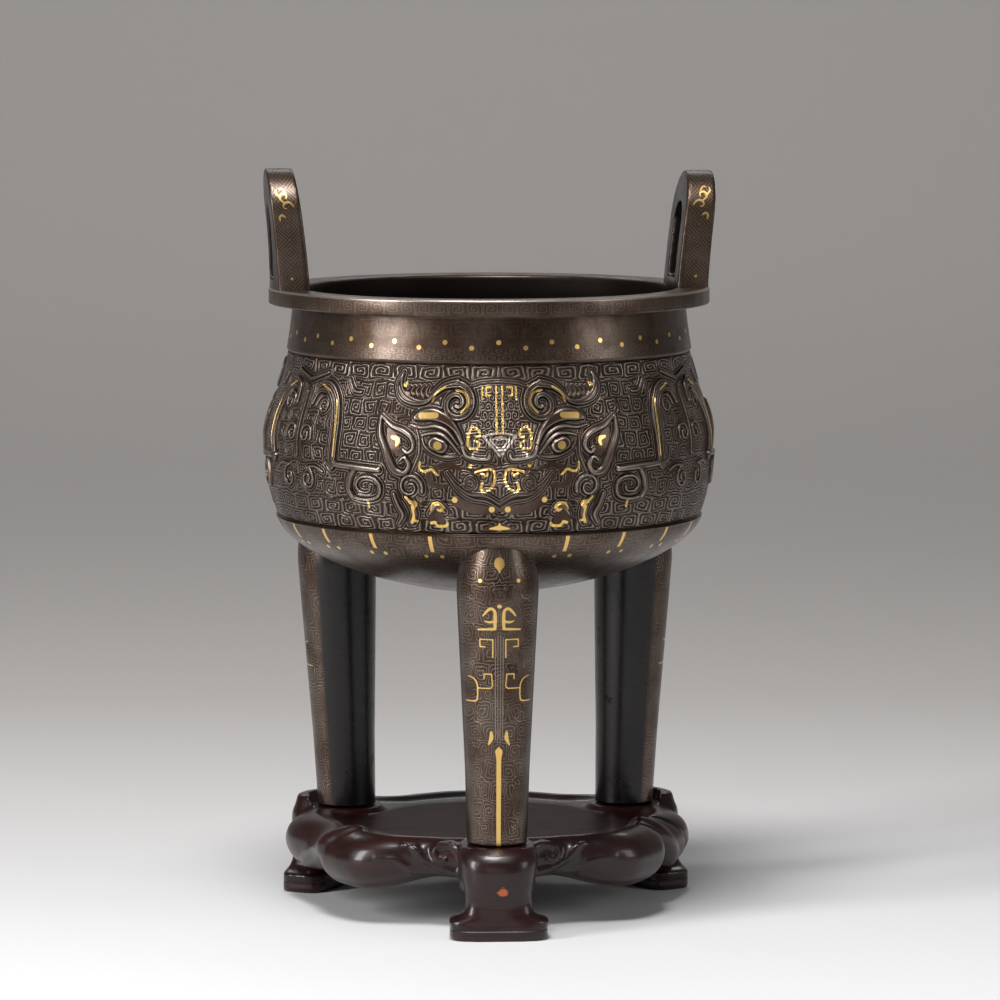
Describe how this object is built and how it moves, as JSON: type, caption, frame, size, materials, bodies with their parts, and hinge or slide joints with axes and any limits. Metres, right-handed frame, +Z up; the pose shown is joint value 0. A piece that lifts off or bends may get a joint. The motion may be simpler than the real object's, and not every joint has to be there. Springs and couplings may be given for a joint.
{
  "type": "bronze tripod censer",
  "caption": "Round bronze censer on three column legs, with a flat rim, upright loop handles and a mask band, resting on a fitted carved wood stand.",
  "frame": {"origin": "on the ground below the middle of the vessel", "axes": "+Z up, -Y towards the front leg and front mask, +X through one handle, within a few degrees"},
  "size_m": [0.1454, 0.1434, 0.2379],
  "materials": {
    "dark_bronze": "dark brown patina with gold and silver inlay, satin",
    "polished_hardwood": "polished dark red-brown"
  },
  "bodies": {
    "root": {"bronze_censer": "dark_bronze", "hardwood_stand": "polished_hardwood"}
  },
  "joints": []
}
